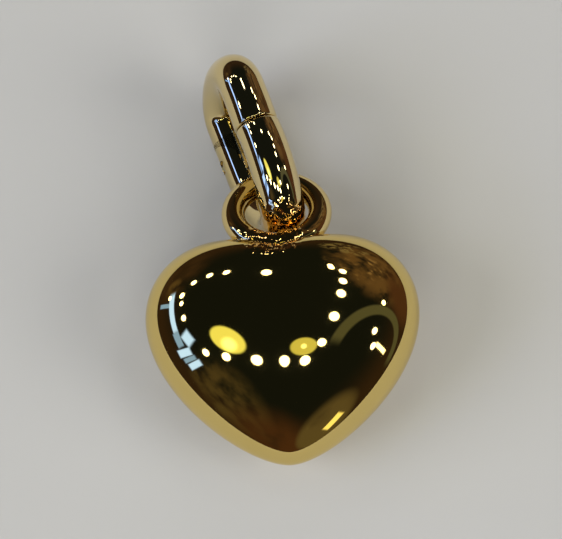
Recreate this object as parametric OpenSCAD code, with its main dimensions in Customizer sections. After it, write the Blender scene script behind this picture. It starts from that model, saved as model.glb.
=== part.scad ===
// Puffy heart pendant with a fixed eyelet ring and a hinged bail.
// It lies on its domed back, with the bail resting on the table behind the heart.
// X is across the heart, Y runs from the point to the bail, Z is up. Millimetres.

/* [Heart] */
// Width across both lobes
heart_w = 15; // [12:0.1:20]
// Thickness from the front dome to the back dome
heart_t = 7.2; // [5.5:0.1:9]
// Height of the lobe tops above the widest line
lobe_rise = 4.3; // [3.6:0.1:6]
// Distance between the two lobe tops
lobe_gap = 6.2; // [5:0.1:7.5]
// Depth of the cleft below the lobe tops
cleft_depth = 1.25; // [0.8:0.05:1.6]
// Half width of the rounded bottom of the cleft
cleft_round = 0.45; // [0.3:0.05:0.8]
// Distance of the point below the widest line
point_drop = 8.2; // [7:0.1:12]
// Distance of the crown of each dome below the widest line
crown_drop = 0.2; // [0:0.1:1.5]
// Fullness of the lobes across their tops
top_fullness = 0.56; // [0.45:0.01:0.65]
// Fullness of the lobes down their sides
side_fullness = 0.58; // [0.45:0.01:0.65]
// Bluntness of the point
point_fullness = 0.3; // [0.2:0.01:0.45]
// Width of the oval that the crowns round off to, as a share of the heart's width
crown_w = 0.96; // [0.85:0.01:1.05]
// Length of that oval, as a share of the heart's length
crown_l = 1.02; // [0.85:0.01:1.1]
// How soon the outline gives way to the oval, from the edge up to a crown
crown_onset = 3; // [2:0.1:4]

/* [Eyelet ring] */
// Thickness of the ring's wire
ring_wire = 1.3; // [1:0.05:1.5]
// Room that the bail's wire leaves in the ring's hole
ring_play = 1; // [0.8:0.05:1.6]
// Backward lean of the ring from the plane of the heart
ring_lean = 34; // [25:1:40]
// Height of the ring's seat above the heart's middle plane
ring_seat = 1.1; // [0.7:0.05:1.5]
// Depth to which the ring is sunk in the cleft
ring_sink = 0.14; // [0.08:0.01:0.25]

/* [Bail] */
// Width across both legs, over and above the thickness of the heart
bail_extra = 0; // [-0.6:0.1:0.6]
// Room that the ring's wire leaves between the two legs
bail_play = 0.9; // [0.8:0.05:1.4]
// Distance by which the ring's wire lies short of the middle of the bail's bend
bail_slack = 0.3; // [0.1:0.05:0.35]
// Where on the ring the bail hangs, turned from the ring's middle
bail_place = 12; // [0:1:20]
// Turn of the bail from the heart's axis, seen from above
bail_turn = 17; // [0:1:25]
// Sideways lean of the bail about its own length
bail_lean = 12; // [0:1:18]

/* [Gate] */
// Distance from the ring's wire up the frame's legs to the gate
frame_leg = 2.6; // [2.4:0.1:3.5]
// Straight length of the gate's legs
gate_leg = 1.7; // [1.7:0.1:4]
// Gap between the gate and the frame at the front joint
seam_gap = 0.06; // [0.04:0.01:0.12]
// Rounding of both lips of the front joint
seam_ease = 0.12; // [0.08:0.01:0.2]
// Thickness of the gate's hinge lug, as a share of the wire's
lug_share = 0.36; // [0.3:0.01:0.42]
// Diameter of the hinge pin, as a share of the wire's
pin_share = 0.32; // [0.26:0.01:0.36]
// Depth of the hinge knuckle below the surface of the leg
knuckle_inset = 0.1; // [0.05:0.01:0.2]
// Running clearance in the hinge
hinge_clear = 0.05; // [0.03:0.01:0.08]
// Angle to which the gate opens
gate_open = 45; // [30:1:50]
// Width of the latch tongue across the leg, as a share of the wire's thickness
tongue_share = 0.4; // [0.32:0.01:0.46]
// Thickness of the latch tongue, as a share of its width
tongue_flat = 0.8; // [0.6:0.05:0.9]
// Length of the latch tongue
tongue_l = 0.7; // [0.5:0.05:0.9]
// Clearance round the latch tongue in its socket
tongue_clear = 0.12; // [0.1:0.01:0.2]

/* [Hidden] */
$fn = 96;
gold = [0.86, 0.66, 0.24];
gold_dark = [0.74, 0.54, 0.18];
gold_pale = [0.93, 0.78, 0.42];

// Steps along each curve of the outline, and levels from the middle plane to a crown
CURVE_STEPS = 12;
DOME_LEVELS = 18;
SETTLE_PASSES = 12;
// Angle by which the gate's bevel clears the frame at its widest opening
swing_spare = 3;

// The heart's own origin is on its axis, on the widest line, in its middle plane
half_w = heart_w / 2;
dome_h = heart_t / 2;
lobe_x = lobe_gap / 2;
crown = [0, -crown_drop];
oval_x = crown_w * half_w;
oval_y = crown_l * (lobe_rise + point_drop) / 2;

// Handles of the outline's curves, chosen so that the curvature runs on from curve to curve
top_handle = top_fullness * (half_w - lobe_x);
side_handle = side_fullness * lobe_rise;
point_handle = point_fullness * half_w;
lobe_curvature = 2 / 3 * (lobe_rise - side_handle) / pow(top_handle, 2);
side_curvature = 2 / 3 * (half_w - lobe_x - top_handle) / pow(side_handle, 2);
flank_handle = min(sqrt(2 / 3 * (half_w - point_handle) / side_curvature), 0.9 * point_drop);

function bezier(a, b, c, d, t) =
    pow(1 - t, 3) * a + 3 * pow(1 - t, 2) * t * b + 3 * (1 - t) * t * t * c + pow(t, 3) * d;

function curve(a, b, c, d) = [for (i = [0 : CURVE_STEPS - 1]) bezier(a, b, c, d, i / CURVE_STEPS)];

// Right half of the outline, from the cleft round the lobe to just above the point
function half_outline(depth) =
    let (
        cleft = [0, lobe_rise - depth],
        top = [lobe_x, lobe_rise],
        side = [half_w, 0],
        point = [0, -point_drop],
        cleft_handle = min(sqrt(2 / 3 * depth / lobe_curvature), lobe_x - cleft_round)
    )
    concat(
        curve(cleft, cleft + [cleft_round, 0], top - [cleft_handle, 0], top),
        curve(top, top + [top_handle, 0], side + [0, side_handle], side),
        curve(side, side - [0, flank_handle], point + [point_handle, 0], point)
    );

// Whole outline, anticlockwise from the cleft round the left lobe
function outline(depth) =
    let (half = half_outline(depth), count = len(half))
    concat(
        [for (p = half) [-p.x, p.y]],
        [[0, -point_drop]],
        [for (i = [count - 1 : -1 : 1]) half[i]]
    );

arms = [for (p = outline(cleft_depth)) p - crown];
edge_count = len(arms);

// Share that the oval has in the dome's shape at an angle up from the middle plane
function oval_share(angle) = 1 - pow(cos(angle), crown_onset);

// Distance of the dome's surface from its axis, in the direction of one point of the outline
function reach(arm, angle) =
    let (length = norm(arm), oval = length / norm([arm.x / oval_x, arm.y / oval_y]))
    cos(angle) * ((1 - oval_share(angle)) * length + oval_share(angle) * oval);

function level(angle) =
    [for (arm = arms)
        let (flat = crown + reach(arm, angle) * arm / norm(arm))
        [flat.x, flat.y, dome_h * sin(angle)]
    ];

LEVEL_COUNT = 2 * DOME_LEVELS - 1;
heart_points = concat(
    [for (k = [1 : LEVEL_COUNT]) each level(90 * (k / DOME_LEVELS - 1))],
    [[0, crown.y, -dome_h], [0, crown.y, dome_h]]
);
back_crown = LEVEL_COUNT * edge_count;
front_crown = back_crown + 1;

function next(i) = (i + 1) % edge_count;

heart_faces = concat(
    [for (k = [0 : LEVEL_COUNT - 2]) for (i = [0 : edge_count - 1])
        let (low = k * edge_count, high = low + edge_count)
        each [
            [low + i, high + i, high + next(i)],
            [low + i, high + next(i), low + next(i)]
        ]
    ],
    [for (i = [0 : edge_count - 1]) [back_crown, i, next(i)]],
    [for (i = [0 : edge_count - 1])
        let (last = (LEVEL_COUNT - 1) * edge_count)
        [front_crown, last + next(i), last + i]
    ]
);

// The bail is bent from one wire, as thick as its width and the ring's wire allow
bail_wire = (heart_t + bail_extra - ring_wire - bail_play) / 2;
bail_r = bail_wire / 2;
bail_leg = frame_leg + gate_leg;
lug_t = lug_share * bail_wire;
pin_d = pin_share * bail_wire;
knuckle_r = bail_r - knuckle_inset;
tongue_w = tongue_share * bail_wire;
tongue_t = tongue_flat * tongue_w;

// Place of the ring on the heart: its wire lies in the valley below the cleft
ring_r = (bail_wire + ring_play + ring_wire) / 2;
seat_angle = asin(ring_seat / dome_h);
valley_y = crown.y + reach(arms[0], seat_angle);
ring_y = valley_y + ring_wire / 2 - ring_sink + ring_r * cos(ring_lean);
ring_z = ring_seat - ring_r * sin(ring_lean);

// Point of the ring's wire that the bail hangs on
hang = [
    -ring_r * sin(bail_place),
    ring_y + ring_r * cos(bail_place) * cos(ring_lean),
    ring_z - ring_r * cos(bail_place) * sin(ring_lean)
];

// Bail: it lies on the table with its back leg
leg_offset = (ring_wire + bail_play + bail_wire) / 2;
bail_height = leg_offset * cos(bail_lean) + bail_r;

// Height of the heart's origin above the table when the heart is tipped by an angle
function heart_height(tip) = -min([for (p = heart_points) p.y * sin(tip) + p.z * cos(tip)]);

// Tip of the heart at which its ring comes level with the bail that carries it
function settle(tip, passes) =
    passes == 0 ? tip
    : settle(asin((bail_height - heart_height(tip) - hang.z * cos(tip)) / hang.y), passes - 1);

heart_tip = settle(0, SETTLE_PASSES);
heart_z = heart_height(heart_tip);

// The origin is under the middle of the whole pendant
hang_y = hang.y * cos(heart_tip) - hang.z * sin(heart_tip);
bail_far_y = hang_y + bail_leg * cos(bail_turn)
    + leg_offset * norm([cos(bail_turn), sin(bail_lean) * sin(bail_turn)]) + bail_r;
point_near_y = min([for (p = heart_points) p.y * cos(heart_tip) - p.z * sin(heart_tip)]);
heart_y = -(bail_far_y + point_near_y) / 2;

module on_heart()
    translate([0, heart_y, heart_z]) rotate([heart_tip, 0, 0]) children();

// In the bail's own axes, X is the hinge line, Y runs up the legs, Z points to the front leg
module on_ring()
    translate([hang.x, heart_y + hang_y, bail_height])
        rotate([0, 0, bail_turn]) rotate([0, bail_lean, 0]) children();

module heart()
    color(gold) on_heart() polyhedron(heart_points, heart_faces, convexity = 4);

module eyelet_ring()
    color(gold) on_heart()
        translate([0, ring_y, ring_z]) rotate([-ring_lean, 0, 0])
            rotate_extrude() translate([ring_r, 0]) circle(ring_wire / 2);

// Half ring of the bail's wire that closes the far ends of the legs
module bend()
    rotate([0, 90, 0]) rotate_extrude(angle = 180) translate([leg_offset, 0]) circle(bail_r);

// Stretch of the back leg
module back_leg(from_y, to_y)
    translate([0, from_y, -leg_offset]) rotate([-90, 0, 0]) cylinder(h = to_y - from_y, r = bail_r);

// Round bar along X, through the hinge line
module barrel(r, length)
    translate([0, frame_leg, -leg_offset]) rotate([0, 90, 0])
        cylinder(h = length, r = r, center = true);

// Slice across the hinge, as thick as the lug and its clearance
module slice(thickness)
    translate([0, frame_leg, -leg_offset])
        cube([thickness, 4 * knuckle_r, 2 * bail_wire], center = true);

// Stretch of the front leg from a bend's end to the joint, with its lip rounded
module front_leg(length)
    translate([0, 0, leg_offset]) rotate([-90, 0, 0]) rotate_extrude() {
        square([bail_r, length - seam_ease]);
        square([bail_r - seam_ease, length]);
        translate([bail_r - seam_ease, length - seam_ease]) circle(seam_ease);
    }

// Flat tongue with a rounded end, grown on every side by a clearance
module tongue(clear) {
    tip_r = tongue_t / 2 + clear;
    width = tongue_w + 2 * clear;
    reach = tongue_l + clear;
    translate([0, frame_leg - reach + tip_r, leg_offset]) {
        rotate([0, 90, 0]) cylinder(h = width, r = tip_r, center = true);
        translate([-width / 2, 0, -tip_r]) cube([width, reach - tip_r + seam_gap, 2 * tip_r]);
    }
}

module bail_frame() {
    color(gold) on_ring() difference() {
        union() {
            translate([0, -bail_slack, 0]) {
                mirror([0, 1, 0]) bend();
                front_leg(bail_slack + frame_leg - seam_gap / 2);
            }
            back_leg(-bail_slack, frame_leg);
            intersection() {
                back_leg(0, frame_leg + knuckle_r);
                barrel(knuckle_r, bail_wire);
            }
        }
        tongue(tongue_clear);
        intersection() {
            barrel(knuckle_r + hinge_clear, bail_wire);
            slice(lug_t + 2 * hinge_clear);
        }
        barrel(pin_d / 2, 2 * bail_wire);
    }
}

module hinge_pin()
    color(gold_dark) on_ring() barrel(pin_d / 2, 2 * sqrt(pow(bail_r, 2) - pow(pin_d / 2, 2)));

// Gate's back leg, bevelled outside so that it can swing down over the frame
module gate_back_leg()
    difference() {
        back_leg(frame_leg + hinge_clear, bail_leg);
        translate([-bail_wire, frame_leg, -leg_offset]) rotate([gate_open + swing_spare, 0, 0])
            translate([0, -2 * bail_wire, -2 * bail_wire]) cube(2 * bail_wire);
    }

module bail_gate() {
    color(gold_pale) on_ring() difference() {
        union() {
            translate([0, bail_leg, 0]) {
                bend();
                mirror([0, 1, 0]) front_leg(bail_leg - frame_leg - seam_gap / 2);
            }
            difference() {
                gate_back_leg();
                barrel(knuckle_r + hinge_clear, 2 * bail_wire);
            }
            intersection() {
                slice(lug_t);
                union() {
                    gate_back_leg();
                    barrel(knuckle_r, bail_wire);
                }
            }
            tongue(0);
        }
        barrel(pin_d / 2 + hinge_clear, 2 * bail_wire);
    }
}

heart();
eyelet_ring();
bail_frame();
hinge_pin();
bail_gate();
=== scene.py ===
"""Looks of a puffy heart pendant: its polished gold pieces, the table it lies on, and the light."""

import logging
import math
from dataclasses import dataclass, field
from enum import Enum

import bpy
import numpy as np
from mathutils import Matrix, Vector


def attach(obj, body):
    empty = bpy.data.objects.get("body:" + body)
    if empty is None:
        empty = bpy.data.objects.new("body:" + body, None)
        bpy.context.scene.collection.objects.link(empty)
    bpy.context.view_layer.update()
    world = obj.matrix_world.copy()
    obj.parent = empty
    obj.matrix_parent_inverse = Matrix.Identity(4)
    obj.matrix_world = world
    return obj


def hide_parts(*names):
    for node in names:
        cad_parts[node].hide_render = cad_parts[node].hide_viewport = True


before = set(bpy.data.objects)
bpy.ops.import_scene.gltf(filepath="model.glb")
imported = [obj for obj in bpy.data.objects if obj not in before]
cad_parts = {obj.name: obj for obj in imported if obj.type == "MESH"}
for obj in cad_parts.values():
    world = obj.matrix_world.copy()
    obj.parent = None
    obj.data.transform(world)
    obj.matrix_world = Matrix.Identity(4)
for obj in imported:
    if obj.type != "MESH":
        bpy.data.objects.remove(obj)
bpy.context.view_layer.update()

LOG = logging.getLogger("pendant")
MM = 0.001
FIT = 0.9985  # Share of its size at which each piece is shown, so that it stays inside its CAD box.


class Part(Enum):
    """The pieces of the pendant, each with its CAD node, body and material slot."""

    HEART = ("heart", "pendant", "heart")
    RING = ("eyelet_ring", "pendant", "ring")
    FRAME = ("bail_frame", "bail", "bail")
    PIN = ("hinge_pin", "bail", "pin")
    GATE = ("bail_gate", "gate", "bail")

    @property
    def node(self) -> str:
        """CAD node that the piece stands for."""
        return self.value[0]

    @property
    def body(self) -> str:
        """Body that the piece rides on."""
        return self.value[1]

    @property
    def slot(self) -> str:
        """Material slot listed for the piece; finish_piece gives the piece its finish without reading it."""
        return self.value[2]


# Small helpers


def turn(degrees: float, axis: str) -> Matrix:
    """Rotation about one axis.

    Args:
        degrees: Angle, by the right-hand rule.
        axis: X, Y or Z.

    Returns:
        The 4 by 4 matrix.
    """
    return Matrix.Rotation(math.radians(degrees), 4, axis)


def shift(x: float = 0.0, y: float = 0.0, z: float = 0.0) -> Matrix:
    """Translation by x, y and z."""
    return Matrix.Translation((x, y, z))


def bezier(a: np.ndarray, b: np.ndarray, c: np.ndarray, d: np.ndarray, t: np.ndarray) -> np.ndarray:
    """Points of a cubic curve at the parameters t."""
    t = t[:, None]
    return (1 - t) ** 3 * a + 3 * (1 - t) ** 2 * t * b + 3 * (1 - t) * t * t * c + t**3 * d


def mesh_from(name: str, points: np.ndarray, faces: list[tuple[int, ...]]) -> bpy.types.Mesh:
    """Mesh with smooth faces that point outwards.

    Args:
        name: Name of the mesh.
        points: Corner points, in millimetres.
        faces: Corners of each face, anticlockwise from outside.

    Returns:
        The new mesh.
    """
    mesh = bpy.data.meshes.new(name)
    mesh.from_pydata([tuple(p) for p in points], [], faces)
    mesh.validate()
    mesh.shade_smooth()
    return mesh


def band(first: int, count: int) -> list[tuple[int, ...]]:
    """Faces between a closed row of points and the row that follows it.

    Args:
        first: Number of the row's first point.
        count: Points in each row.

    Returns:
        Corners of each face.
    """
    return [
        (first + i, first + (i + 1) % count, first + count + (i + 1) % count, first + count + i)
        for i in range(count)
    ]


def link(name: str, data: bpy.types.ID) -> bpy.types.Object:
    """Object for some data, linked to the scene.

    Args:
        name: Name of the object.
        data: Mesh, curve, light or camera.

    Returns:
        The new object.
    """
    made = bpy.data.objects.new(name, data)
    bpy.context.scene.collection.objects.link(made)
    return made


def baked(made: bpy.types.Object) -> bpy.types.Mesh:
    """Plain mesh of an object with its modifiers applied; the object is removed.

    Args:
        made: Object whose modifiers are to be applied.

    Returns:
        The evaluated mesh.
    """
    graph = bpy.context.evaluated_depsgraph_get()
    mesh = bpy.data.meshes.new_from_object(made.evaluated_get(graph), depsgraph=graph)
    bpy.data.objects.remove(made)
    return mesh


def finish_piece(
    part: Part, mesh: bpy.types.Mesh, place: Matrix, finish: bpy.types.Material
) -> bpy.types.Object:
    """Puts a finished mesh in the row's frame, on its body and in its slot.

    Args:
        part: Which piece it is.
        mesh: Its mesh, in millimetres, in the piece's own axes.
        place: From the piece's own axes to the row's, in millimetres.
        finish: Material of the whole piece.

    Returns:
        The piece, at the origin and unturned.
    """
    mesh.transform(Matrix.Scale(MM, 4) @ place @ Matrix.Scale(FIT, 4))
    mesh.materials.clear()
    mesh.materials.append(finish)
    mesh.polygons.foreach_set("material_index", [0] * len(mesh.polygons))
    piece = link(f"{part.node}_polished", mesh)
    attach(piece, part.body)
    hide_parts(part.node)
    LOG.info("%s: %d faces on body %s", piece.name, len(mesh.polygons), part.body)
    return piece


class NodeTree:
    """Short way to add nodes and links to one tree.

    The Mix node names all its data types' sockets alike, so its colour sockets are known by number.
    """

    MIX_FIRST, MIX_SECOND, MIX_RESULT = 6, 7, 2

    def __init__(self, tree: bpy.types.NodeTree) -> None:
        """Keeps the tree that nodes are added to."""
        self.tree = tree

    def add(self, kind: str, **settings: object) -> bpy.types.Node:
        """Adds a node.

        Args:
            kind: Type of the node.
            settings: Attributes to set on it.

        Returns:
            The node.
        """
        node = self.tree.nodes.new(kind)
        for name, value in settings.items():
            setattr(node, name, value)
        return node

    def put(self, socket: bpy.types.NodeSocket, value: object) -> None:
        """Links an output socket to an input socket, or sets its constant.

        Args:
            socket: Input socket.
            value: Output socket or constant.
        """
        if isinstance(value, bpy.types.NodeSocket):
            self.tree.links.new(value, socket)
        else:
            socket.default_value = value

    def math(self, operation: str, *values: object) -> bpy.types.NodeSocket:
        """Adds a Math node.

        Args:
            operation: What it does.
            values: Its inputs, sockets or constants.

        Returns:
            The result's socket.
        """
        node = self.add("ShaderNodeMath", operation=operation)
        for socket, value in zip(node.inputs, values):
            self.put(socket, value)
        return node.outputs[0]

    def vector(self, operation: str, *values: object) -> bpy.types.NodeSocket:
        """Adds a Vector Math node.

        Args:
            operation: What it does.
            values: Its inputs, sockets or constants.

        Returns:
            The socket of the resulting vector or number.
        """
        node = self.add("ShaderNodeVectorMath", operation=operation)
        for socket, value in zip(node.inputs, values):
            self.put(socket, value)
        return node.outputs["Value" if operation in ("DOT_PRODUCT", "LENGTH") else "Vector"]

    def ramp(
        self, value: object, low: float, high: float, to_low: float = 0.0, to_high: float = 1.0
    ) -> bpy.types.NodeSocket:
        """Smooth step of a value from one range to another.

        Args:
            value: Socket that is read.
            low: Value at which the step starts.
            high: Value at which the step ends.
            to_low: Result at low and below.
            to_high: Result at high and above.

        Returns:
            The result's socket.
        """
        node = self.add("ShaderNodeMapRange", interpolation_type="SMOOTHSTEP")
        self.put(node.inputs["Value"], value)
        limits = {"From Min": low, "From Max": high, "To Min": to_low, "To Max": to_high}
        for name, number in limits.items():
            node.inputs[name].default_value = number
        return node.outputs["Result"]

    def noise(self, position: object, scale: float, detail: float) -> bpy.types.NodeSocket:
        """Adds a Noise Texture.

        Args:
            position: Where it is read.
            scale: Cells to a unit.
            detail: Octaves.

        Returns:
            The factor's socket.
        """
        node = self.add("ShaderNodeTexNoise")
        self.put(node.inputs["Vector"], position)
        node.inputs["Scale"].default_value = scale
        node.inputs["Detail"].default_value = detail
        return node.outputs["Fac"]

    def mix(self, factor: object, a: object, b: object) -> bpy.types.NodeSocket:
        """Mixes two colours.

        Args:
            factor: Share of the second.
            a: First colour.
            b: Second colour.

        Returns:
            The mixed colour's socket.
        """
        node = self.add("ShaderNodeMix", data_type="RGBA")
        self.put(node.inputs["Factor"], factor)
        self.put(node.inputs[self.MIX_FIRST], a)
        self.put(node.inputs[self.MIX_SECOND], b)
        return node.outputs[self.MIX_RESULT]


# Finishes


@dataclass(frozen=True)
class RipplesWithPaintedReflection:
    """Patch of metal rippled as soldering and rubbing leave it, with a deeper, warmer tone that is painted
    reflection: the orange of lamps mirrored to and fro between the pieces.

    Millimetres, in the row's frame. The patch is an ellipsoid round the centre with reach as its half-axes,
    and it shows in full within full_share of them.
    """

    centre: tuple[float, float, float]
    reach: tuple[float, float, float]
    size: float
    depth: float
    # Warmer tone of the patch: painted reflection, the orange of lamps mirrored to and fro between the
    # pieces.
    tone: tuple[float, float, float] = (0.9, 0.57, 0.2)
    full_share: float = 0.6

    def cover(self, tree: NodeTree, position: bpy.types.NodeSocket) -> bpy.types.NodeSocket:
        """How much of the patch shows at a position.

        Args:
            tree: Material's tree.
            position: Point of the surface, in metres.

        Returns:
            Share from 0 outside the patch to 1 in its middle.
        """
        away = tree.vector("SUBTRACT", position, tuple(c * MM for c in self.centre))
        share = tree.vector("DIVIDE", away, tuple(r * MM for r in self.reach))
        return tree.ramp(tree.vector("LENGTH", share), 1.0, self.full_share)

    def height(
        self, tree: NodeTree, position: bpy.types.NodeSocket, cover: bpy.types.NodeSocket
    ) -> bpy.types.NodeSocket:
        """Height of the ripples at a position.

        Args:
            tree: Material's tree.
            position: Point of the surface, in metres.
            cover: How much of the patch shows there.

        Returns:
            Height in millimetres.
        """
        ripple = tree.noise(position, 1 / (self.size * MM), 0.0)
        return tree.math("MULTIPLY", tree.math("MULTIPLY", ripple, cover), self.depth)


@dataclass(frozen=True)
class GoldFinish:
    """Polished gold plating: nearly a mirror, with fine hairlines and a faint swell.

    Colours are linear. Lengths are in millimetres. A pair such as patch_levels holds the noise levels between
    which a pattern fades in.
    """

    name: str
    plate: tuple[float, float, float]
    rubbed: tuple[float, float, float]
    gloss: float = 0.035
    haze: float = 0.09
    swell_size: float = 3.0
    swell_depth: float = 0.0006
    hairline_size: float = 0.05
    hairline_turn: tuple[float, float, float] = (0.3, 0.2, 0.7)
    hairline_stretch: tuple[float, float, float] = (1.0, 0.06, 1.0)
    hairline_levels: tuple[float, float] = (0.58, 0.78)
    patch_size: float = 2.5
    patch_levels: tuple[float, float] = (0.45, 0.7)
    worn_levels: tuple[float, float] = (0.4, 0.8)
    worn_share: float = 0.5
    # Rippled patch whose warmer tone is painted reflection of lamps mirrored between the pieces.
    ripples_and_reflection: RipplesWithPaintedReflection | None = None

    def material(self) -> bpy.types.Material:
        """Builds the material.

        Returns:
            A metal whose roughness, colour and surface vary a little over the piece.
        """
        material = bpy.data.materials.new(self.name)
        material.use_nodes = True
        tree = NodeTree(material.node_tree)
        shader = material.node_tree.nodes["Principled BSDF"]
        shader.inputs["Metallic"].default_value = 1.0
        position = tree.add("ShaderNodeTexCoord").outputs["Object"]
        drawn = tree.add("ShaderNodeMapping", vector_type="POINT")
        tree.put(drawn.inputs["Vector"], position)
        drawn.inputs["Rotation"].default_value = self.hairline_turn
        drawn.inputs["Scale"].default_value = self.hairline_stretch
        hairlines = tree.ramp(
            tree.noise(drawn.outputs["Vector"], 1 / (self.hairline_size * MM), 3.0), *self.hairline_levels
        )
        patches = tree.noise(position, 1 / (self.patch_size * MM), 3.0)
        scuffed = tree.math("MULTIPLY", hairlines, tree.ramp(patches, *self.patch_levels))
        tree.put(shader.inputs["Roughness"], tree.ramp(scuffed, 0.0, 1.0, self.gloss, self.haze))
        worn = tree.math("MULTIPLY", tree.ramp(patches, *self.worn_levels), self.worn_share)
        colour = tree.mix(worn, (*self.plate, 1.0), (*self.rubbed, 1.0))
        swell = tree.noise(position, 1 / (self.swell_size * MM), 1.0)
        height = tree.math("MULTIPLY", swell, self.swell_depth)
        if self.ripples_and_reflection:
            cover = self.ripples_and_reflection.cover(tree, position)
            # The patch's warmer tone is painted reflection, laid over the plating's colour.
            colour = tree.mix(cover, colour, (*self.ripples_and_reflection.tone, 1.0))
            height = tree.math("ADD", height, self.ripples_and_reflection.height(tree, position, cover))
        tree.put(shader.inputs["Base Color"], colour)
        bump = tree.add("ShaderNodeBump")
        bump.inputs["Strength"].default_value = 1.0
        bump.inputs["Distance"].default_value = MM
        tree.put(bump.inputs["Height"], height)
        tree.put(shader.inputs["Normal"], bump.outputs["Normal"])
        return material


@dataclass(frozen=True)
class PaleSurface:
    """Matt pale surface of the table."""

    name: str
    tone: tuple[float, float, float]
    grain: float = 0.02
    cloud_scale: float = 40.0
    roughness: float = 0.9
    sheen: float = 0.1

    def material(self) -> bpy.types.Material:
        """Builds the material.

        Returns:
            A matt surface with a very faint cloudiness.
        """
        material = bpy.data.materials.new(self.name)
        material.use_nodes = True
        tree = NodeTree(material.node_tree)
        shader = material.node_tree.nodes["Principled BSDF"]
        shader.inputs["Roughness"].default_value = self.roughness
        shader.inputs["Specular IOR Level"].default_value = self.sheen
        position = tree.add("ShaderNodeTexCoord").outputs["Object"]
        cloud = tree.noise(position, self.cloud_scale, 3.0)
        dark = tuple(c * (1 - self.grain) for c in self.tone)
        tree.put(shader.inputs["Base Color"], tree.mix(cloud, (*dark, 1.0), (*self.tone, 1.0)))
        return material


# The heart


@dataclass
class PuffyHeart:
    """Heart with two smooth domes, as the CAD source shapes it. Millimetres and degrees."""

    width: float = 15.0
    thickness: float = 7.2
    lobe_rise: float = 4.3
    lobe_gap: float = 6.2
    cleft_depth: float = 1.25
    cleft_round: float = 0.45
    point_drop: float = 8.2
    crown_drop: float = 0.2
    top_fullness: float = 0.56
    side_fullness: float = 0.58
    point_fullness: float = 0.3
    crown_w: float = 0.96
    crown_l: float = 1.02
    crown_onset: float = 3.0
    tip: float = 9.91602
    middle: tuple[float, float, float] = (0.0, -3.71493, 3.7461)
    curve_bend: float = 2 / 3
    flank_limit: float = 0.9
    curve_steps: int = 56
    dome_levels: int = 84

    @property
    def place(self) -> Matrix:
        """From the heart's own axes to the row's."""
        return shift(*self.middle) @ turn(self.tip, "X")

    def half_outline(self) -> np.ndarray:
        """Right half of the outline: three cubic curves whose ends agree in direction and curvature.

        A cubic's curvature at its end is curve_bend times the far handle's height over the near handle's
        length squared.

        Returns:
            Points from the cleft round the lobe to just above the point.
        """
        half_w, lobe_x = self.width / 2, self.lobe_gap / 2
        top = self.top_fullness * (half_w - lobe_x)
        side = self.side_fullness * self.lobe_rise
        tip = self.point_fullness * half_w
        lobe_curvature = self.curve_bend * (self.lobe_rise - side) / top**2
        side_curvature = self.curve_bend * (half_w - lobe_x - top) / side**2
        flank = math.sqrt(self.curve_bend * (half_w - tip) / side_curvature)
        flank = min(flank, self.flank_limit * self.point_drop)
        cleft = math.sqrt(self.curve_bend * self.cleft_depth / lobe_curvature)
        cleft = min(cleft, lobe_x - self.cleft_round)
        along, up = np.array([1.0, 0.0]), np.array([0.0, 1.0])
        low, crest = (self.lobe_rise - self.cleft_depth) * up, lobe_x * along + self.lobe_rise * up
        wide, point = half_w * along, -self.point_drop * up
        t = np.arange(self.curve_steps) / self.curve_steps
        return np.vstack(
            [
                bezier(low, low + self.cleft_round * along, crest - cleft * along, crest, t),
                bezier(crest, crest + top * along, wide + side * up, wide, t),
                bezier(wide, wide - flank * up, point + tip * along, point, t),
            ]
        )

    def surface(self) -> tuple[np.ndarray, list[tuple[int, ...]]]:
        """Points and faces of the whole closed surface.

        Returns:
            Points in the heart's own axes, and faces that point outwards.
        """
        half = self.half_outline()
        edge = np.vstack([half * [-1, 1], [[0, -self.point_drop]], half[:0:-1]])
        crown = np.array([0.0, -self.crown_drop])
        arms = edge - crown
        length = np.linalg.norm(arms, axis=1)
        ray = arms / length[:, None]
        oval_x = self.crown_w * self.width / 2
        oval_y = self.crown_l * (self.lobe_rise + self.point_drop) / 2
        oval = 1 / np.hypot(ray[:, 0] / oval_x, ray[:, 1] / oval_y)
        count, rows, half_t = len(edge), 2 * self.dome_levels - 1, self.thickness / 2
        points = []
        for row in range(1, rows + 1):
            angle = math.pi / 2 * (row / self.dome_levels - 1)
            share = 1 - math.cos(angle) ** self.crown_onset
            reach = math.cos(angle) * ((1 - share) * length + share * oval)
            flat = crown + reach[:, None] * ray
            points.append(np.column_stack([flat, np.full(count, half_t * math.sin(angle))]))
        points.append(np.array([[*crown, -half_t], [*crown, half_t]]))
        faces: list[tuple[int, ...]] = []
        for row in range(rows - 1):
            faces += band(row * count, count)
        back, last = rows * count, (rows - 1) * count
        faces += [(back, (i + 1) % count, i) for i in range(count)]
        faces += [(back + 1, last + i, last + (i + 1) % count) for i in range(count)]
        return np.vstack(points), faces

    def build(self, finish: GoldFinish) -> bpy.types.Object:
        """Builds the heart.

        Args:
            finish: Its plating.

        Returns:
            The heart.
        """
        points, faces = self.surface()
        return finish_piece(Part.HEART, mesh_from("heart", points, faces), self.place, finish.material())


# Wire pieces


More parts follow.
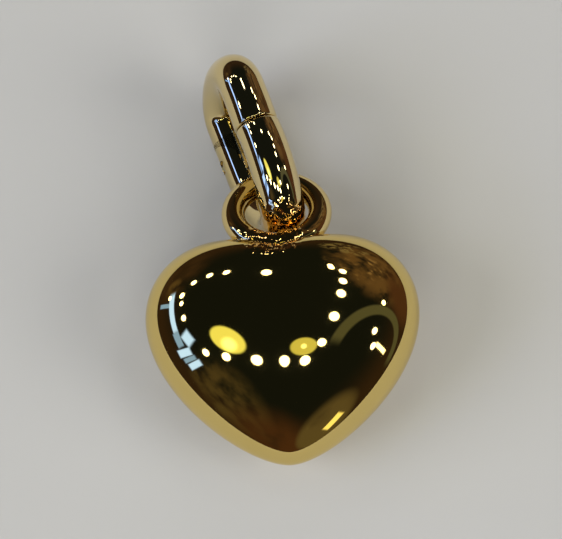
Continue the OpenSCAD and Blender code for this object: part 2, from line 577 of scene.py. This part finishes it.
class WireSweep:
    """Geometry Nodes tree that bends a round wire along a curve."""

    INPUTS = (
        ("Wire Radius", "NodeSocketFloat"),
        ("Sides", "NodeSocketInt"),
        ("Caps", "NodeSocketBool"),
        ("Finish", "NodeSocketMaterial"),
    )

    def __init__(self) -> None:
        """Builds the tree once; every wire uses it."""
        self.group = bpy.data.node_groups.new("bent_round_wire", "GeometryNodeTree")
        face = self.group.interface
        face.new_socket("Geometry", in_out="INPUT", socket_type="NodeSocketGeometry")
        self.sockets = {
            name: face.new_socket(name, in_out="INPUT", socket_type=kind).identifier
            for name, kind in self.INPUTS
        }
        face.new_socket("Geometry", in_out="OUTPUT", socket_type="NodeSocketGeometry")
        tree = NodeTree(self.group)
        given, result = tree.add("NodeGroupInput"), tree.add("NodeGroupOutput")
        section = tree.add("GeometryNodeCurvePrimitiveCircle")
        tree.put(section.inputs["Resolution"], given.outputs["Sides"])
        tree.put(section.inputs["Radius"], given.outputs["Wire Radius"])
        sweep = tree.add("GeometryNodeCurveToMesh")
        tree.put(sweep.inputs["Curve"], given.outputs["Geometry"])
        tree.put(sweep.inputs["Profile Curve"], section.outputs["Curve"])
        tree.put(sweep.inputs["Scale"], tree.add("GeometryNodeInputRadius").outputs["Radius"])
        tree.put(sweep.inputs["Fill Caps"], given.outputs["Caps"])
        smooth = tree.add("GeometryNodeSetShadeSmooth")
        tree.put(smooth.inputs["Geometry"], sweep.outputs["Mesh"])
        real = tree.add("GeometryNodeRealizeInstances")
        tree.put(real.inputs["Geometry"], smooth.outputs["Geometry"])
        dressed = tree.add("GeometryNodeSetMaterial")
        tree.put(dressed.inputs["Geometry"], real.outputs["Geometry"])
        tree.put(dressed.inputs["Material"], given.outputs["Finish"])
        tree.put(result.inputs["Geometry"], dressed.outputs["Geometry"])

    def wire(
        self,
        name: str,
        path: np.ndarray,
        radius: float,
        finish: bpy.types.Material,
        taper: np.ndarray | None = None,
        sides: int = 96,
    ) -> bpy.types.Mesh:
        """Sweeps one wire.

        Args:
            name: Name of the mesh.
            path: Points along the wire's middle line, in millimetres.
            radius: Radius of the wire, in millimetres.
            finish: Its material.
            taper: Share of the radius at each point; None closes the path into a ring.
            sides: Faces round the wire.

        Returns:
            The wire's plain mesh.
        """
        line = bpy.data.curves.new(name, "CURVE")
        line.dimensions = "3D"
        spline = line.splines.new("POLY")
        spline.points.add(len(path) - 1)
        spline.points.foreach_set("co", np.column_stack([path, np.ones(len(path))]).ravel())
        spline.points.foreach_set("radius", np.ones(len(path)) if taper is None else taper)
        spline.use_cyclic_u = taper is None
        holder = link(name, line)
        swept = holder.modifiers.new("wire", "NODES")
        swept.node_group = self.group
        values = {"Wire Radius": radius, "Sides": sides, "Caps": taper is not None, "Finish": finish}
        for socket, value in values.items():
            swept[self.sockets[socket]] = value
        return baked(holder)


@dataclass
class EyeletRing:
    """Closed ring of round wire that is soldered in the cleft."""

    wire: float = 1.3
    middle_radius: float = 2.4
    lean: float = 34.0
    centre: tuple[float, float, float] = (0.0, 5.80109, -0.242063)
    steps: int = 240

    def build(self, heart: PuffyHeart, sweep: WireSweep, finish: GoldFinish) -> bpy.types.Object:
        """Builds the ring.

        Args:
            heart: Heart that carries it.
            sweep: Tree that bends the wire.
            finish: Its plating.

        Returns:
            The ring.
        """
        angle = np.linspace(0, 2 * math.pi, self.steps, endpoint=False)
        path = self.middle_radius * np.column_stack([np.cos(angle), np.sin(angle), 0 * angle])
        dress = finish.material()
        mesh = sweep.wire("ring", path, self.wire / 2, dress)
        place = heart.place @ shift(*self.centre) @ turn(-self.lean, "X")
        return finish_piece(Part.RING, mesh, place, dress)


@dataclass
class HingedBail:
    """Bail of thick wire: a frame and a gate that meet at a lipped joint and a hinge.

    Own axes: X is the hinge line, Y runs up the legs, Z points to the front leg. Millimetres and degrees. A
    bend holds the distance from the joint to the end, the first arc's radius and its angle. A crown holds how
    far the front leg falls at the seam, and over what length. The tongue is width, thickness and length.
    """

    wire: float = 2.5
    leg_offset: float = 2.35
    frame_leg: float = 2.6
    seam_gap: float = 0.06
    lip: float = 0.14
    lug: float = 0.9
    knuckle_inset: float = 0.1
    pin: float = 0.8
    clearance: float = 0.05
    opening: float = 48.0
    tongue: tuple[float, float, float] = (1.0, 0.8, 0.7)
    tongue_room: float = 0.12
    overlap: float = 0.3
    hang: tuple[float, float, float] = (-0.498988, 4.184378, 3.54865)
    turned: float = 17.0
    leaned: float = 12.0
    frame_bend: tuple[float, float, float] = (5.25, 5.9, 38.0)
    gate_bend: tuple[float, float, float] = (3.94, 1.3, 60.0)
    frame_crown: tuple[float, float] = (0.1, 1.1)
    gate_crown: tuple[float, float] = (0.17, 1.8)
    pin_dome: tuple[tuple[float, float], ...] = ((0.55, 0.012), (0.85, 0.045), (1.0, 0.09))
    pin_sides: int = 64
    bend_steps: int = 48
    leg_steps: int = 36
    lip_steps: int = 14
    tongue_steps: int = 24
    carved_corner: float = 32.0
    pin_corner: float = 50.0
    cutters: list[bpy.types.Object] = field(default_factory=list)

    @property
    def place(self) -> Matrix:
        """From the bail's own axes to the row's."""
        return shift(*self.hang) @ turn(self.turned, "Z") @ turn(self.leaned, "Y")

    @property
    def radius(self) -> float:
        """Radius of the wire."""
        return self.wire / 2

    @property
    def knuckle(self) -> float:
        """Radius of the hinge knuckle."""
        return self.radius - self.knuckle_inset

    def lipped(self, length: float) -> tuple[np.ndarray, np.ndarray]:
        """Distances along a leg that ends in a rounded lip, and the wire's share of its radius there.

        Args:
            length: Length of the leg.

        Returns:
            Distances from the lip's face, falling off the round first, and shares of the radius.
        """
        bow = np.linspace(0, math.pi / 2, self.lip_steps)
        near = self.lip * (1 - np.cos(bow))
        share = (self.radius - self.lip * (1 - np.sin(bow))) / self.radius
        far = np.linspace(self.lip, length, self.leg_steps)[1:]
        return np.concatenate([near, far]), np.concatenate([share, np.ones(len(far))])

    def half(
        self, bend: tuple[float, float, float], gap: float, tail: float
    ) -> tuple[np.ndarray, np.ndarray]:
        """Middle line of one half of the bail, from its lip round the end to beyond the hinge.

        Each leg is straight beside the joint and turns into a first and a second arc, which closes the end.

        Args:
            bend: Bend of this half.
            gap: Distance from the joint to the lip's face.
            tail: Length of the back leg beyond the joint.

        Returns:
            Points, with Y counted from the joint towards the end, and shares of the radius.
        """
        reach, first, degrees = bend
        turned = math.radians(degrees)
        second = (self.leg_offset - first * (1 - math.cos(turned))) / math.cos(turned)
        start = reach - first * math.sin(turned) - second * (1 - math.sin(turned))
        along, share = self.lipped(start - gap)
        straight = np.column_stack([gap + along, 0 * along + self.leg_offset])
        steps = np.linspace(0, turned, self.bend_steps + 1)[1:]
        fall = first * (1 - np.cos(steps))
        shoulder = np.column_stack([start + first * np.sin(steps), self.leg_offset - fall])
        steps = np.linspace(turned, math.pi / 2, self.bend_steps + 1)[1:]
        end = np.column_stack([reach - second * (1 - np.sin(steps)), second * np.cos(steps)])
        back = np.vstack([shoulder, end[:-1]])[::-1] * [1, -1]
        down = np.linspace(start, -tail, self.leg_steps)
        last = np.column_stack([down, 0 * down - self.leg_offset])
        flat = np.vstack([straight, shoulder, end, back, last])
        path = np.column_stack([np.zeros(len(flat)), flat])
        return path, np.concatenate([share, np.ones(len(path) - len(share))])

    def crowned(self, mesh: bpy.types.Mesh, crown: tuple[float, float]) -> bpy.types.Mesh:
        """Lets the front leg fall away towards the seam, as polishing rounds it.

        Args:
            mesh: Half of the bail, in the bail's own axes; it is changed.
            crown: Crown of this half.

        Returns:
            The same mesh.
        """
        drop, length = crown
        points = np.empty(3 * len(mesh.vertices))
        mesh.vertices.foreach_get("co", points)
        points = points.reshape(-1, 3)
        near = np.clip(1 - np.abs(points[:, 1] - self.frame_leg) / length, 0, 1)
        points[:, 2] -= np.where(points[:, 2] > 0, drop * near**2, 0)
        mesh.vertices.foreach_set("co", points.ravel())
        mesh.update()
        return mesh

    def prism(
        self, name: str, outline: list[tuple[float, float]], low: float, high: float
    ) -> bpy.types.Object:
        """Solid that cuts or fills: an outline in Y and Z, drawn out along X.

        Args:
            name: Name of the solid.
            outline: Corners as (y, z), anticlockwise seen from +X.
            low: X of one end.
            high: X of the other end.

        Returns:
            The solid's object.
        """
        count = len(outline)
        points = np.array([(x, y, z) for x in (low, high) for y, z in outline])
        faces: list[tuple[int, ...]] = [tuple(range(count - 1, -1, -1)), tuple(range(count, 2 * count))]
        faces += band(0, count)
        solid = link(name, mesh_from(name, points, faces))
        solid.hide_render = True
        self.cutters.append(solid)
        return solid

    def on_hinge(self, radius: float, angle: float) -> tuple[float, float]:
        """Y and Z of a point at a radius and an angle round the hinge line."""
        return self.frame_leg + radius * math.cos(angle), -self.leg_offset + radius * math.sin(angle)

    def round_bar(
        self, name: str, radius: float, low: float, high: float, sides: int = 96
    ) -> bpy.types.Object:
        """Round solid along the hinge line.

        Args:
            name: Name of the solid.
            radius: Its radius.
            low: X of one end.
            high: X of the other end.
            sides: Faces round it.

        Returns:
            The solid's object.
        """
        outline = [self.on_hinge(radius, 2 * math.pi * i / sides) for i in range(sides)]
        return self.prism(name, outline, low, high)

    def tongue_solid(self, name: str, room: float) -> bpy.types.Object:
        """Latch tongue, or its socket when it is grown by some room.

        Args:
            name: Name of the solid.
            room: Gap to leave round the tongue; 0 makes the tongue itself.

        Returns:
            The solid's object.
        """
        width, thick, reach = self.tongue
        tip = thick / 2 + room
        root = self.frame_leg + self.seam_gap + (self.overlap if room == 0 else 0)
        middle = self.frame_leg - reach - room + tip
        bow = np.linspace(math.pi / 2, 3 * math.pi / 2, self.tongue_steps)
        outline = [(middle + tip * math.cos(a), self.leg_offset + tip * math.sin(a)) for a in bow]
        outline += [(root, self.leg_offset - tip), (root, self.leg_offset + tip)]
        return self.prism(name, outline, -width / 2 - room, width / 2 + room)

    def carve(
        self, name: str, mesh: bpy.types.Mesh, steps: list[tuple[str, bpy.types.Object]]
    ) -> bpy.types.Mesh:
        """Cuts and joins solids on a mesh, one after another.

        Args:
            name: Name of the result.
            mesh: Mesh to start from.
            steps: Pairs of DIFFERENCE or UNION and the solid.

        Returns:
            The plain result, with its corners kept crisp.
        """
        body = link(name, mesh)
        for operation, solid in steps:
            step = body.modifiers.new(operation.lower(), "BOOLEAN")
            step.operation, step.object, step.solver = operation, solid, "EXACT"
        result = baked(body)
        result.shade_smooth()
        result.set_sharp_from_angle(angle=math.radians(self.carved_corner))
        return result

    def build_frame(self, sweep: WireSweep, finish: GoldFinish) -> bpy.types.Object:
        """Builds the half that hangs in the ring, with the hinge's cheeks and the latch's socket.

        Args:
            sweep: Tree that bends the wire.
            finish: Its plating.

        Returns:
            The frame.
        """
        dress = finish.material()
        path, share = self.half(self.frame_bend, self.seam_gap / 2, self.knuckle + self.overlap)
        mesh = sweep.wire("frame", path * [1, -1, 1] + [0, self.frame_leg, 0], self.radius, dress, share)
        bow = np.linspace(math.pi / 2, -math.pi / 2, self.bend_steps)
        y, z, wide = self.frame_leg, -self.leg_offset, 2 * self.wire
        rounding = [self.on_hinge(self.knuckle, a) for a in bow]
        rounding = [(y, z + wide), *rounding, (y, z - wide), (y + wide, z - wide), (y + wide, z + wide)]
        slot = self.lug / 2 + self.clearance
        steps = [
            ("DIFFERENCE", self.prism("knuckle_cut", rounding[::-1], -self.wire, self.wire)),
            ("DIFFERENCE", self.round_bar("lug_room", self.knuckle + self.clearance, -slot, slot)),
            ("DIFFERENCE", self.round_bar("pin_hole", self.pin / 2, -self.wire, self.wire)),
            ("DIFFERENCE", self.tongue_solid("socket", self.tongue_room)),
        ]
        carved = self.crowned(self.carve("frame", mesh, steps), self.frame_crown)
        return finish_piece(Part.FRAME, carved, self.place, dress)

    def build_gate(self, sweep: WireSweep, finish: GoldFinish) -> bpy.types.Object:
        """Builds the half that swings open, with its bevelled leg, its lug and the latch tongue.

        Args:
            sweep: Tree that bends the wire.
            finish: Its plating.

        Returns:
            The gate.
        """
        dress = finish.material()
        path, share = self.half(self.gate_bend, self.seam_gap / 2, -self.clearance)
        mesh = sweep.wire("gate", path + [0, self.frame_leg, 0], self.radius, dress, share)
        y, z, wide = self.frame_leg, -self.leg_offset, 2 * self.wire
        down = wide * math.cos(math.radians(self.opening))
        out = wide * math.sin(math.radians(self.opening))
        bevel = [(y, z), (y - down, z - out), (y - down + out, z - out - down), (y + out, z - down)]
        cheek = self.knuckle + self.clearance
        steps = [
            ("DIFFERENCE", self.prism("bevel", bevel, -self.wire, self.wire)),
            ("DIFFERENCE", self.round_bar("left_cheek_room", cheek, -self.wire, -self.lug / 2)),
            ("DIFFERENCE", self.round_bar("right_cheek_room", cheek, self.lug / 2, self.wire)),
            ("UNION", self.round_bar("lug", self.knuckle, -self.lug / 2, self.lug / 2)),
            ("UNION", self.tongue_solid("tongue", 0.0)),
            ("DIFFERENCE", self.round_bar("pin_bore", self.pin / 2 + self.clearance, -self.wire, self.wire)),
        ]
        carved = self.crowned(self.carve("gate", mesh, steps), self.gate_crown)
        return finish_piece(Part.GATE, carved, self.place, dress)

    def build_pin(self, finish: GoldFinish) -> bpy.types.Object:
        """Builds the hinge pin, with low domed ends that stay below the wire's surface.

        Args:
            finish: Its plating.

        Returns:
            The pin.
        """
        reach = math.sqrt(self.radius**2 - (self.pin / 2) ** 2)
        angle = np.linspace(0, 2 * math.pi, self.pin_sides, endpoint=False)
        rings = [(share, reach - drop) for share, drop in self.pin_dome]
        rows = [(share, -x) for share, x in rings] + rings[::-1]
        points = [(x, *self.on_hinge(self.pin / 2 * share, a)) for share, x in rows for a in angle]
        count, last = self.pin_sides, (len(rows) - 1) * self.pin_sides
        faces = [face for first in range(0, last, count) for face in band(first, count)]
        faces += [tuple(range(count - 1, -1, -1)), tuple(range(last, last + count))]
        mesh = mesh_from("pin", np.array(points), faces)
        mesh.set_sharp_from_angle(angle=math.radians(self.pin_corner))
        return finish_piece(Part.PIN, mesh, self.place, finish.material())

    def clear_cutters(self) -> None:
        """Removes the solids that cut the hinge and the latch."""
        for solid in self.cutters:
            bpy.data.objects.remove(solid)
        self.cutters.clear()


# The studio


def toward(azimuth: float, zenith: float) -> Vector:
    """Unit vector of a direction.

    Args:
        azimuth: Degrees anticlockwise from +X.
        zenith: Degrees from straight up.

    Returns:
        The vector.
    """
    a, z = math.radians(azimuth), math.radians(zenith)
    return Vector((math.sin(z) * math.cos(a), math.sin(z) * math.sin(a), math.cos(z)))


@dataclass(frozen=True)
class Lamp:
    """Round lamp far away, seen as a direction. Angles in degrees, colours linear."""

    azimuth: float
    zenith: float
    size: float = 4.2
    colour: tuple[float, float, float] = (9.0, 9.0, 8.4)
    soft: float = 0.12

    def paint(self, tree: NodeTree, ray: bpy.types.NodeSocket, under: object) -> bpy.types.NodeSocket:
        """Lays the lamp over the room's colour.

        Args:
            tree: World's tree.
            ray: Direction that is looked in.
            under: Colour so far.

        Returns:
            The new colour.
        """
        near = tree.vector("DOT_PRODUCT", ray, toward(self.azimuth, self.zenith))
        half = math.radians(self.size / 2)
        mask = tree.ramp(near, math.cos(half * (1 + self.soft)), math.cos(half * (1 - self.soft)))
        return tree.mix(mask, under, (*self.colour, 1.0))


@dataclass(frozen=True)
class Panel:
    """Flat bright shape far away, such as a window pane or a lamp shade: a rectangle or an oval."""

    azimuth: float
    zenith: float
    width: float
    height: float
    colour: tuple[float, float, float]
    turned: float = 0.0
    soft: float = 0.18
    oval: bool = False
    least_ahead: float = 0.01

    def paint(self, tree: NodeTree, ray: bpy.types.NodeSocket, under: object) -> bpy.types.NodeSocket:
        """Lays the shape over the room's colour.

        Args:
            tree: World's tree.
            ray: Direction that is looked in.
            under: Colour so far.

        Returns:
            The new colour.
        """
        middle = toward(self.azimuth, self.zenith)
        across = Vector((-middle.y, middle.x, 0)).normalized()
        rise = middle.cross(across)
        spin = Matrix.Rotation(math.radians(self.turned), 3, middle)
        ahead = tree.math("MAXIMUM", tree.vector("DOT_PRODUCT", ray, middle), self.least_ahead)
        away = []
        for axis, extent in ((across, self.width), (rise, self.height)):
            side = tree.math("DIVIDE", tree.vector("DOT_PRODUCT", ray, spin @ axis), ahead)
            away.append(tree.math("ABSOLUTE", tree.math("DIVIDE", side, math.tan(math.radians(extent / 2)))))
        if self.oval:
            far = tree.math("SQRT", tree.math("ADD", *(tree.math("POWER", a, 2.0) for a in away)))
        else:
            far = tree.math("MAXIMUM", *away)
        mask = tree.ramp(far, 1 + self.soft, 1 - self.soft)
        return tree.mix(mask, under, (*self.colour, 1.0))


@dataclass(frozen=True)
class Patch:
    """Dim mottled part of a wall, which fades out round its edge."""

    azimuth: float
    zenith: float
    inner: float
    outer: float
    colour: tuple[float, float, float]
    grain: float
    cover: tuple[float, float] = (0.35, 0.62)

    def paint(self, tree: NodeTree, ray: bpy.types.NodeSocket, under: object) -> bpy.types.NodeSocket:
        """Lays the patch over the room's colour.

        Args:
            tree: World's tree.
            ray: Direction that is looked in.
            under: Colour so far.

        Returns:
            The new colour.
        """
        near = tree.vector("DOT_PRODUCT", ray, toward(self.azimuth, self.zenith))
        mask = tree.ramp(near, math.cos(math.radians(self.outer)), math.cos(math.radians(self.inner)))
        mottle = tree.ramp(tree.noise(ray, self.grain, 3.0), *self.cover)
        return tree.mix(tree.math("MULTIPLY", mask, mottle), under, (*self.colour, 1.0))


@dataclass(frozen=True)
class Arch:
    """Pale band bent round a dark opening, seen only on the side of one azimuth."""

    azimuth: float
    zenith: float
    radius: float
    band: float
    toward_azimuth: float
    colour: tuple[float, float, float]
    toward_zenith: float = 60.0
    core: float = 0.6
    fade: tuple[float, float] = (-0.02, 0.06)

    def paint(self, tree: NodeTree, ray: bpy.types.NodeSocket, under: object) -> bpy.types.NodeSocket:
        """Lays the band over the room's colour.

        Args:
            tree: World's tree.
            ray: Direction that is looked in.
            under: Colour so far.

        Returns:
            The new colour.
        """
        middle = toward(self.azimuth, self.zenith)
        near = tree.math("ARCCOSINE", tree.vector("DOT_PRODUCT", ray, middle))
        off = tree.math("ABSOLUTE", tree.math("SUBTRACT", near, math.radians(self.radius)))
        half = math.radians(self.band / 2)
        side = toward(self.toward_azimuth, self.toward_zenith) - middle
        part = tree.math("SUBTRACT", tree.vector("DOT_PRODUCT", ray, side), middle.dot(side))
        mask = tree.math("MULTIPLY", tree.ramp(off, half, half * self.core), tree.ramp(part, *self.fade))
        return tree.mix(mask, under, (*self.colour, 1.0))


@dataclass(frozen=True)
class SoftBox:
    """Round soft light that stands in one direction and shines at the pendant."""

    azimuth: float
    zenith: float
    power: float
    colour: tuple[float, float, float]


@dataclass
class Studio:
    """Table, soft light from round it, and the room that the gold mirrors. Boxes and floor in metres.

    The ceiling gives way to the wall between the two heights of wall_rise on the unit sphere.
    """

    room: tuple[Lamp | Panel | Patch | Arch, ...]
    floor: PaleSurface = PaleSurface("pale_table", (0.62, 0.612, 0.59))
    floor_half: float = 3.0
    boxes: tuple[SoftBox, ...] = (
        SoftBox(195, 62, 3.4, (0.96, 0.98, 1.0)),
        SoftBox(335, 62, 2.9, (1.0, 0.98, 0.94)),
        SoftBox(268, 62, 2.4, (1.0, 0.98, 0.95)),
        SoftBox(85, 62, 0.7, (1.0, 0.98, 0.95)),
    )
    box_size: float = 0.6
    box_distance: float = 0.8
    ceiling: tuple[float, float, float] = (0.0085, 0.0105, 0.0105)
    wall: tuple[float, float, float] = (0.035, 0.021, 0.014)
    wall_rise: tuple[float, float] = (0.62, 0.1)

    def build_floor(self) -> bpy.types.Object:
        """Builds the table top.

        Returns:
            The table top.
        """
        h = self.floor_half
        mesh = bpy.data.meshes.new("table_top")
        mesh.from_pydata([(-h, -h, 0), (h, -h, 0), (h, h, 0), (-h, h, 0)], [], [(0, 1, 2, 3)])
        mesh.materials.append(self.floor.material())
        top = link("table_top", mesh)
        return top

    def build_soft_lights(self) -> None:
        """Stands soft boxes round the table; the gold mirrors the room instead of them."""
        for box in self.boxes:
            light = bpy.data.lights.new("soft_box", "AREA")
            light.shape = "DISK"
            light.size = self.box_size
            light.energy = box.power
            light.color = box.colour
            lamp = link("soft_box", light)
            lamp.location = toward(box.azimuth, box.zenith) * self.box_distance
            lamp.rotation_euler = (-lamp.location).to_track_quat("-Z", "Y").to_euler()
            lamp.visible_glossy = False

    def build_room(self) -> None:
        """Paints the room round the table: dim ceiling, brown walls, lamps and a window."""
        world = bpy.data.worlds.new("room")
        bpy.context.scene.world = world
        world.use_nodes = True
        tree = NodeTree(world.node_tree)
        background = world.node_tree.nodes["Background"]
        ray = tree.add("ShaderNodeTexCoord").outputs["Generated"]
        split = tree.add("ShaderNodeSeparateXYZ")
        tree.put(split.inputs[0], ray)
        low = tree.ramp(split.outputs["Z"], *self.wall_rise)
        colour: object = tree.mix(low, (*self.ceiling, 1.0), (*self.wall, 1.0))
        for thing in self.room:
            colour = thing.paint(tree, ray, colour)
        tree.put(background.inputs["Color"], colour)


@dataclass(frozen=True)
class PhotoCamera:
    """Camera above the table, on the side of the heart's point. Millimetres and degrees."""

    elevation: float = 69.46
    roll: float = 3.29
    distance: float = 154.7
    field_of_view: float = 11.3
    aim: tuple[float, float, float] = (0.0, -5.2122, 3.4843)
    aim_pixel: tuple[float, float] = (284.05, 343.6)
    picture: tuple[int, int] = (562, 539)
    sensor: float = 36.0
    clip: tuple[float, float] = (0.01, 20.0)

    def build(self) -> bpy.types.Object:
        """Builds the camera and makes it the scene's.

        Returns:
            The camera.
        """
        e, r = math.radians(self.elevation), math.radians(self.roll)
        back = Vector((0, -math.cos(e), math.sin(e)))
        across = Vector((1, 0, 0))
        upward = back.cross(across)
        right = math.cos(r) * across - math.sin(r) * upward
        up = math.sin(r) * across + math.cos(r) * upward
        focal = self.picture[0] / 2 / math.tan(math.radians(self.field_of_view / 2))
        x = (self.aim_pixel[0] - self.picture[0] / 2) / focal
        y = (self.picture[1] / 2 - self.aim_pixel[1]) / focal
        at = Vector(self.aim) - self.distance * (x * right + y * up - back)
        camera = bpy.data.cameras.new("camera")
        camera.sensor_width = self.sensor
        camera.lens = self.sensor / 2 / math.tan(math.radians(self.field_of_view / 2))
        camera.clip_start, camera.clip_end = self.clip
        made = link("camera", camera)
        turned = Matrix((right, up, back)).transposed().to_4x4()
        made.matrix_world = Matrix.Translation(at * MM) @ turned
        bpy.context.scene.camera = made
        return made


DAYLIGHT = (0.75, 1.35, 4.2)
HAZY_DAYLIGHT = (0.3, 0.6, 1.9)
AMBER = (1.2, 1.25, 0.4)
ROOM = (
    Patch(36, 66, 16, 32, (0.14, 0.085, 0.046), 7.0, (0.3, 0.6)),
    Patch(44, 58, 8, 22, (0.30, 0.2, 0.12), 14.0, (0.56, 0.72)),
    Patch(14, 82, 8, 24, (0.085, 0.04, 0.024), 3.0, (0.2, 0.5)),
    Patch(62, 72, 5, 14, (0.24, 0.2, 0.13), 16.0, (0.5, 0.6)),
    Patch(140, 78, 10, 26, (0.05, 0.03, 0.02), 3.0),
    Patch(150, 72, 3, 9, (0.11, 0.075, 0.04), 6.0),
    Patch(230, 66, 10, 26, (0.085, 0.066, 0.036), 6.0, (0.3, 0.65)),
    Patch(262, 82, 12, 34, (0.075, 0.034, 0.018), 2.0, (0.1, 0.5)),
    Patch(296, 77, 12, 20, (0.125, 0.10, 0.056), 3.0, (0.15, 0.5)),
    Arch(330, 58, 26, 7.5, 15, (0.105, 0.112, 0.08)),
    Panel(209, 32, 21, 13.5, AMBER, 22, 0.1, True),
    Panel(214, 33, 8, 7, (2.4, 2.5, 1.3), 16, 0.5, True),
    Panel(293, 24, 12.5, 9.5, (0.85, 0.85, 0.25), -20, 0.1, True),
    Lamp(293, 24, 2.4, (2.5, 2.5, 1.4), 0.4),
    Panel(163.5, 75, 3, 17, HAZY_DAYLIGHT, -6),
    Panel(170, 66, 27, 5.5, DAYLIGHT, 8),
    Panel(190, 65.5, 9, 7, HAZY_DAYLIGHT),
    Panel(192, 56, 8, 8, DAYLIGHT, 20, 0.3),
    Panel(199, 66, 4.5, 14, DAYLIGHT, -10),
    Panel(204, 65, 2.6, 13, HAZY_DAYLIGHT, -10),
    Panel(208.5, 64, 3.6, 13, DAYLIGHT, -10),
    Panel(302.5, 79, 7.5, 6.5, (1.6, 1.45, 0.65), 26),
    Panel(336.5, 66, 2.6, 13, (5.0, 4.6, 4.0), -4),
    *(
        Lamp(azimuth, zenith, size)
        for azimuth, zenith, size in (
            (243.4, 31.7, 5.2), (269.4, 29.0, 5.2), (289.1, 31.5, 4.6), (311.7, 27.5, 4.2),
            (347.8, 24.8, 5.0), (18.3, 29.5, 4.6), (31.8, 34.6, 4.0), (41.5, 39.9, 3.6),
            (50.0, 37.5, 3.0), (52.3, 38.8, 2.6), (220.2, 40.0, 4.6), (207.4, 48.8, 4.2),
            (137.2, 47.0, 3.4), (129.8, 39.3, 3.4), (145.8, 53.7, 3.4), (157.2, 58.0, 3.8),
            (164.0, 56.5, 3.0), (176.3, 54.1, 3.6), (103.6, 24.9, 4.6), (344.5, 53.0, 4.0),
            (334.9, 57.6, 4.0), (7.2, 56.8, 3.4), (158.0, 71.0, 3.0),
        )
    ),
)


def main() -> None:
    """Builds the pendant and the studio in order."""
    logging.basicConfig(level=logging.INFO, format="%(name)s: %(message)s")
    bpy.context.scene.view_settings.view_transform = "Standard"
    # Rippled patches whose warmer tone is painted reflection: the orange of lamps mirrored to and fro between
    # the ring, the heart and the bail.
    heart_reflection_patch = RipplesWithPaintedReflection((-0.35, -0.85, 7.0), (1.7, 0.65, 0.9), 0.25, 0.09)
    ring_reflection_patch = RipplesWithPaintedReflection((-0.2, 0.2, 5.9), (1.9, 1.0, 1.5), 0.3, 0.08)
    bail_reflection_patch = RipplesWithPaintedReflection((0.5, 1.5, 5.1), (1.9, 1.15, 1.7), 0.33, 0.08)
    heart_gold = GoldFinish("mirror_gold", (0.77, 0.585, 0.205), (0.74, 0.555, 0.185), ripples_and_reflection=heart_reflection_patch)
    ring_gold = GoldFinish("ring_gold", (0.78, 0.60, 0.26), (0.76, 0.57, 0.23), ripples_and_reflection=ring_reflection_patch)
    bail_gold = GoldFinish("bail_gold", (0.76, 0.61, 0.31), (0.74, 0.58, 0.27), ripples_and_reflection=bail_reflection_patch)
    pin_gold = GoldFinish("pin_gold", (0.72, 0.56, 0.24), (0.68, 0.52, 0.2), gloss=0.08, haze=0.16)
    sweep = WireSweep()
    heart = PuffyHeart()
    heart.build(heart_gold)
    EyeletRing().build(heart, sweep, ring_gold)
    bail = HingedBail()
    bail.build_frame(sweep, bail_gold)
    bail.build_gate(sweep, bail_gold)
    bail.build_pin(pin_gold)
    bail.clear_cutters()
    studio = Studio(ROOM)
    studio.build_floor()
    studio.build_soft_lights()
    studio.build_room()
    PhotoCamera().build()


if __name__ == "__main__":
    main()
